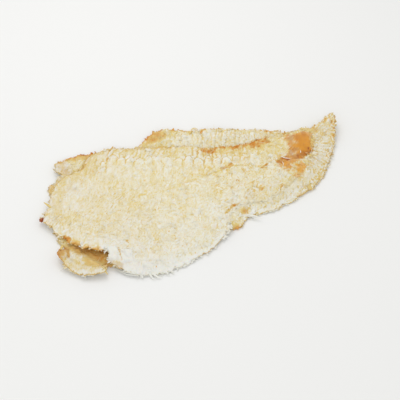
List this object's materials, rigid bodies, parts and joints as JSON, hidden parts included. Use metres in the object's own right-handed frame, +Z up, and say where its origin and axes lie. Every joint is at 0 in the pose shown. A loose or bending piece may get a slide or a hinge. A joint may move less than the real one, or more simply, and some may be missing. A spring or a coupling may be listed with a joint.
{
  "type": "dried roasted fish slice",
  "caption": "Dried, roasted fish slice for a snack: a butterflied fillet pressed flat on a larger one, with flaky flesh, torn curled rims and a browned tail.",
  "frame": {"origin": "the middle of the slice's own box, on the surface that it lies on", "axes": "+X along the slice from the head end to the tail, +Y across the slice, +Z up"},
  "size_m": [0.2256, 0.1206, 0.0094],
  "materials": {
    "upper_flesh": "dry, flaky roasted fish flesh, pale cream with golden toasted spots, amber and slightly glossy at the tail",
    "lower_flesh": "dry, flaky roasted fish flesh, pale cream, golden brown along the rim and in the shaded gaps"
  },
  "bodies": {
    "root": {"lower_fillet": "lower_flesh", "upper_fillet": "upper_flesh"}
  },
  "joints": []
}
